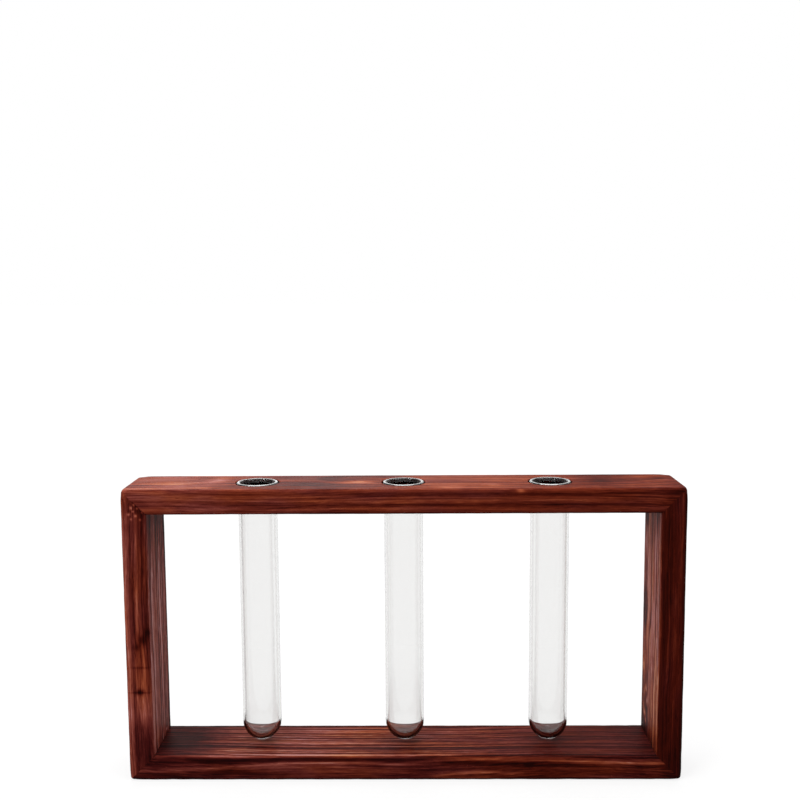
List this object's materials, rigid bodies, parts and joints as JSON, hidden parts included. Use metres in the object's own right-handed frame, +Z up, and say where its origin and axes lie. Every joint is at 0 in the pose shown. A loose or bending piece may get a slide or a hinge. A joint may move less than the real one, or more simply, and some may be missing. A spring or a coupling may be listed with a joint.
{
  "type": "tube vase",
  "caption": "Desk vase: a mitred frame of stained wooden boards, with clear round-ended glass tubes for cut stems hung by their beads in its top board.",
  "frame": {"origin": "middle of the footprint, on the surface that the vase stands on", "axes": "+X along the frame's width, +Y from the front to the back, +Z up, along the tubes"},
  "size_m": [0.308, 0.043, 0.1656],
  "materials": {
    "stained_wood": "softwood stained dark red-brown, satin, with sanded edges",
    "clear_glass": "clear, colourless, fire-polished",
    "pin_steel": "plain drawn wire, dull"
  },
  "bodies": {
    "frame": {"top_board": "stained_wood", "bottom_board": "stained_wood", "left_board": "stained_wood", "right_board": "stained_wood", "pin_top_left_front": "pin_steel", "pin_top_left_back": "pin_steel", "pin_top_right_front": "pin_steel", "pin_top_right_back": "pin_steel", "pin_bottom_left_front": "pin_steel", "pin_bottom_left_back": "pin_steel", "pin_bottom_right_front": "pin_steel", "pin_bottom_right_back": "pin_steel"},
    "left_tube": {"tube_left": "clear_glass"},
    "middle_tube": {"tube_middle": "clear_glass"},
    "right_tube": {"tube_right": "clear_glass"}
  },
  "joints": [
    {"name": "lift_left_tube", "type": "slide", "parent": "frame", "child": "left_tube", "axis": [0, 0, 1], "range_m": [0, 0.16]},
    {"name": "lift_middle_tube", "type": "slide", "parent": "frame", "child": "middle_tube", "axis": [0, 0, 1], "range_m": [0, 0.16]},
    {"name": "lift_right_tube", "type": "slide", "parent": "frame", "child": "right_tube", "axis": [0, 0, 1], "range_m": [0, 0.16]}
  ]
}
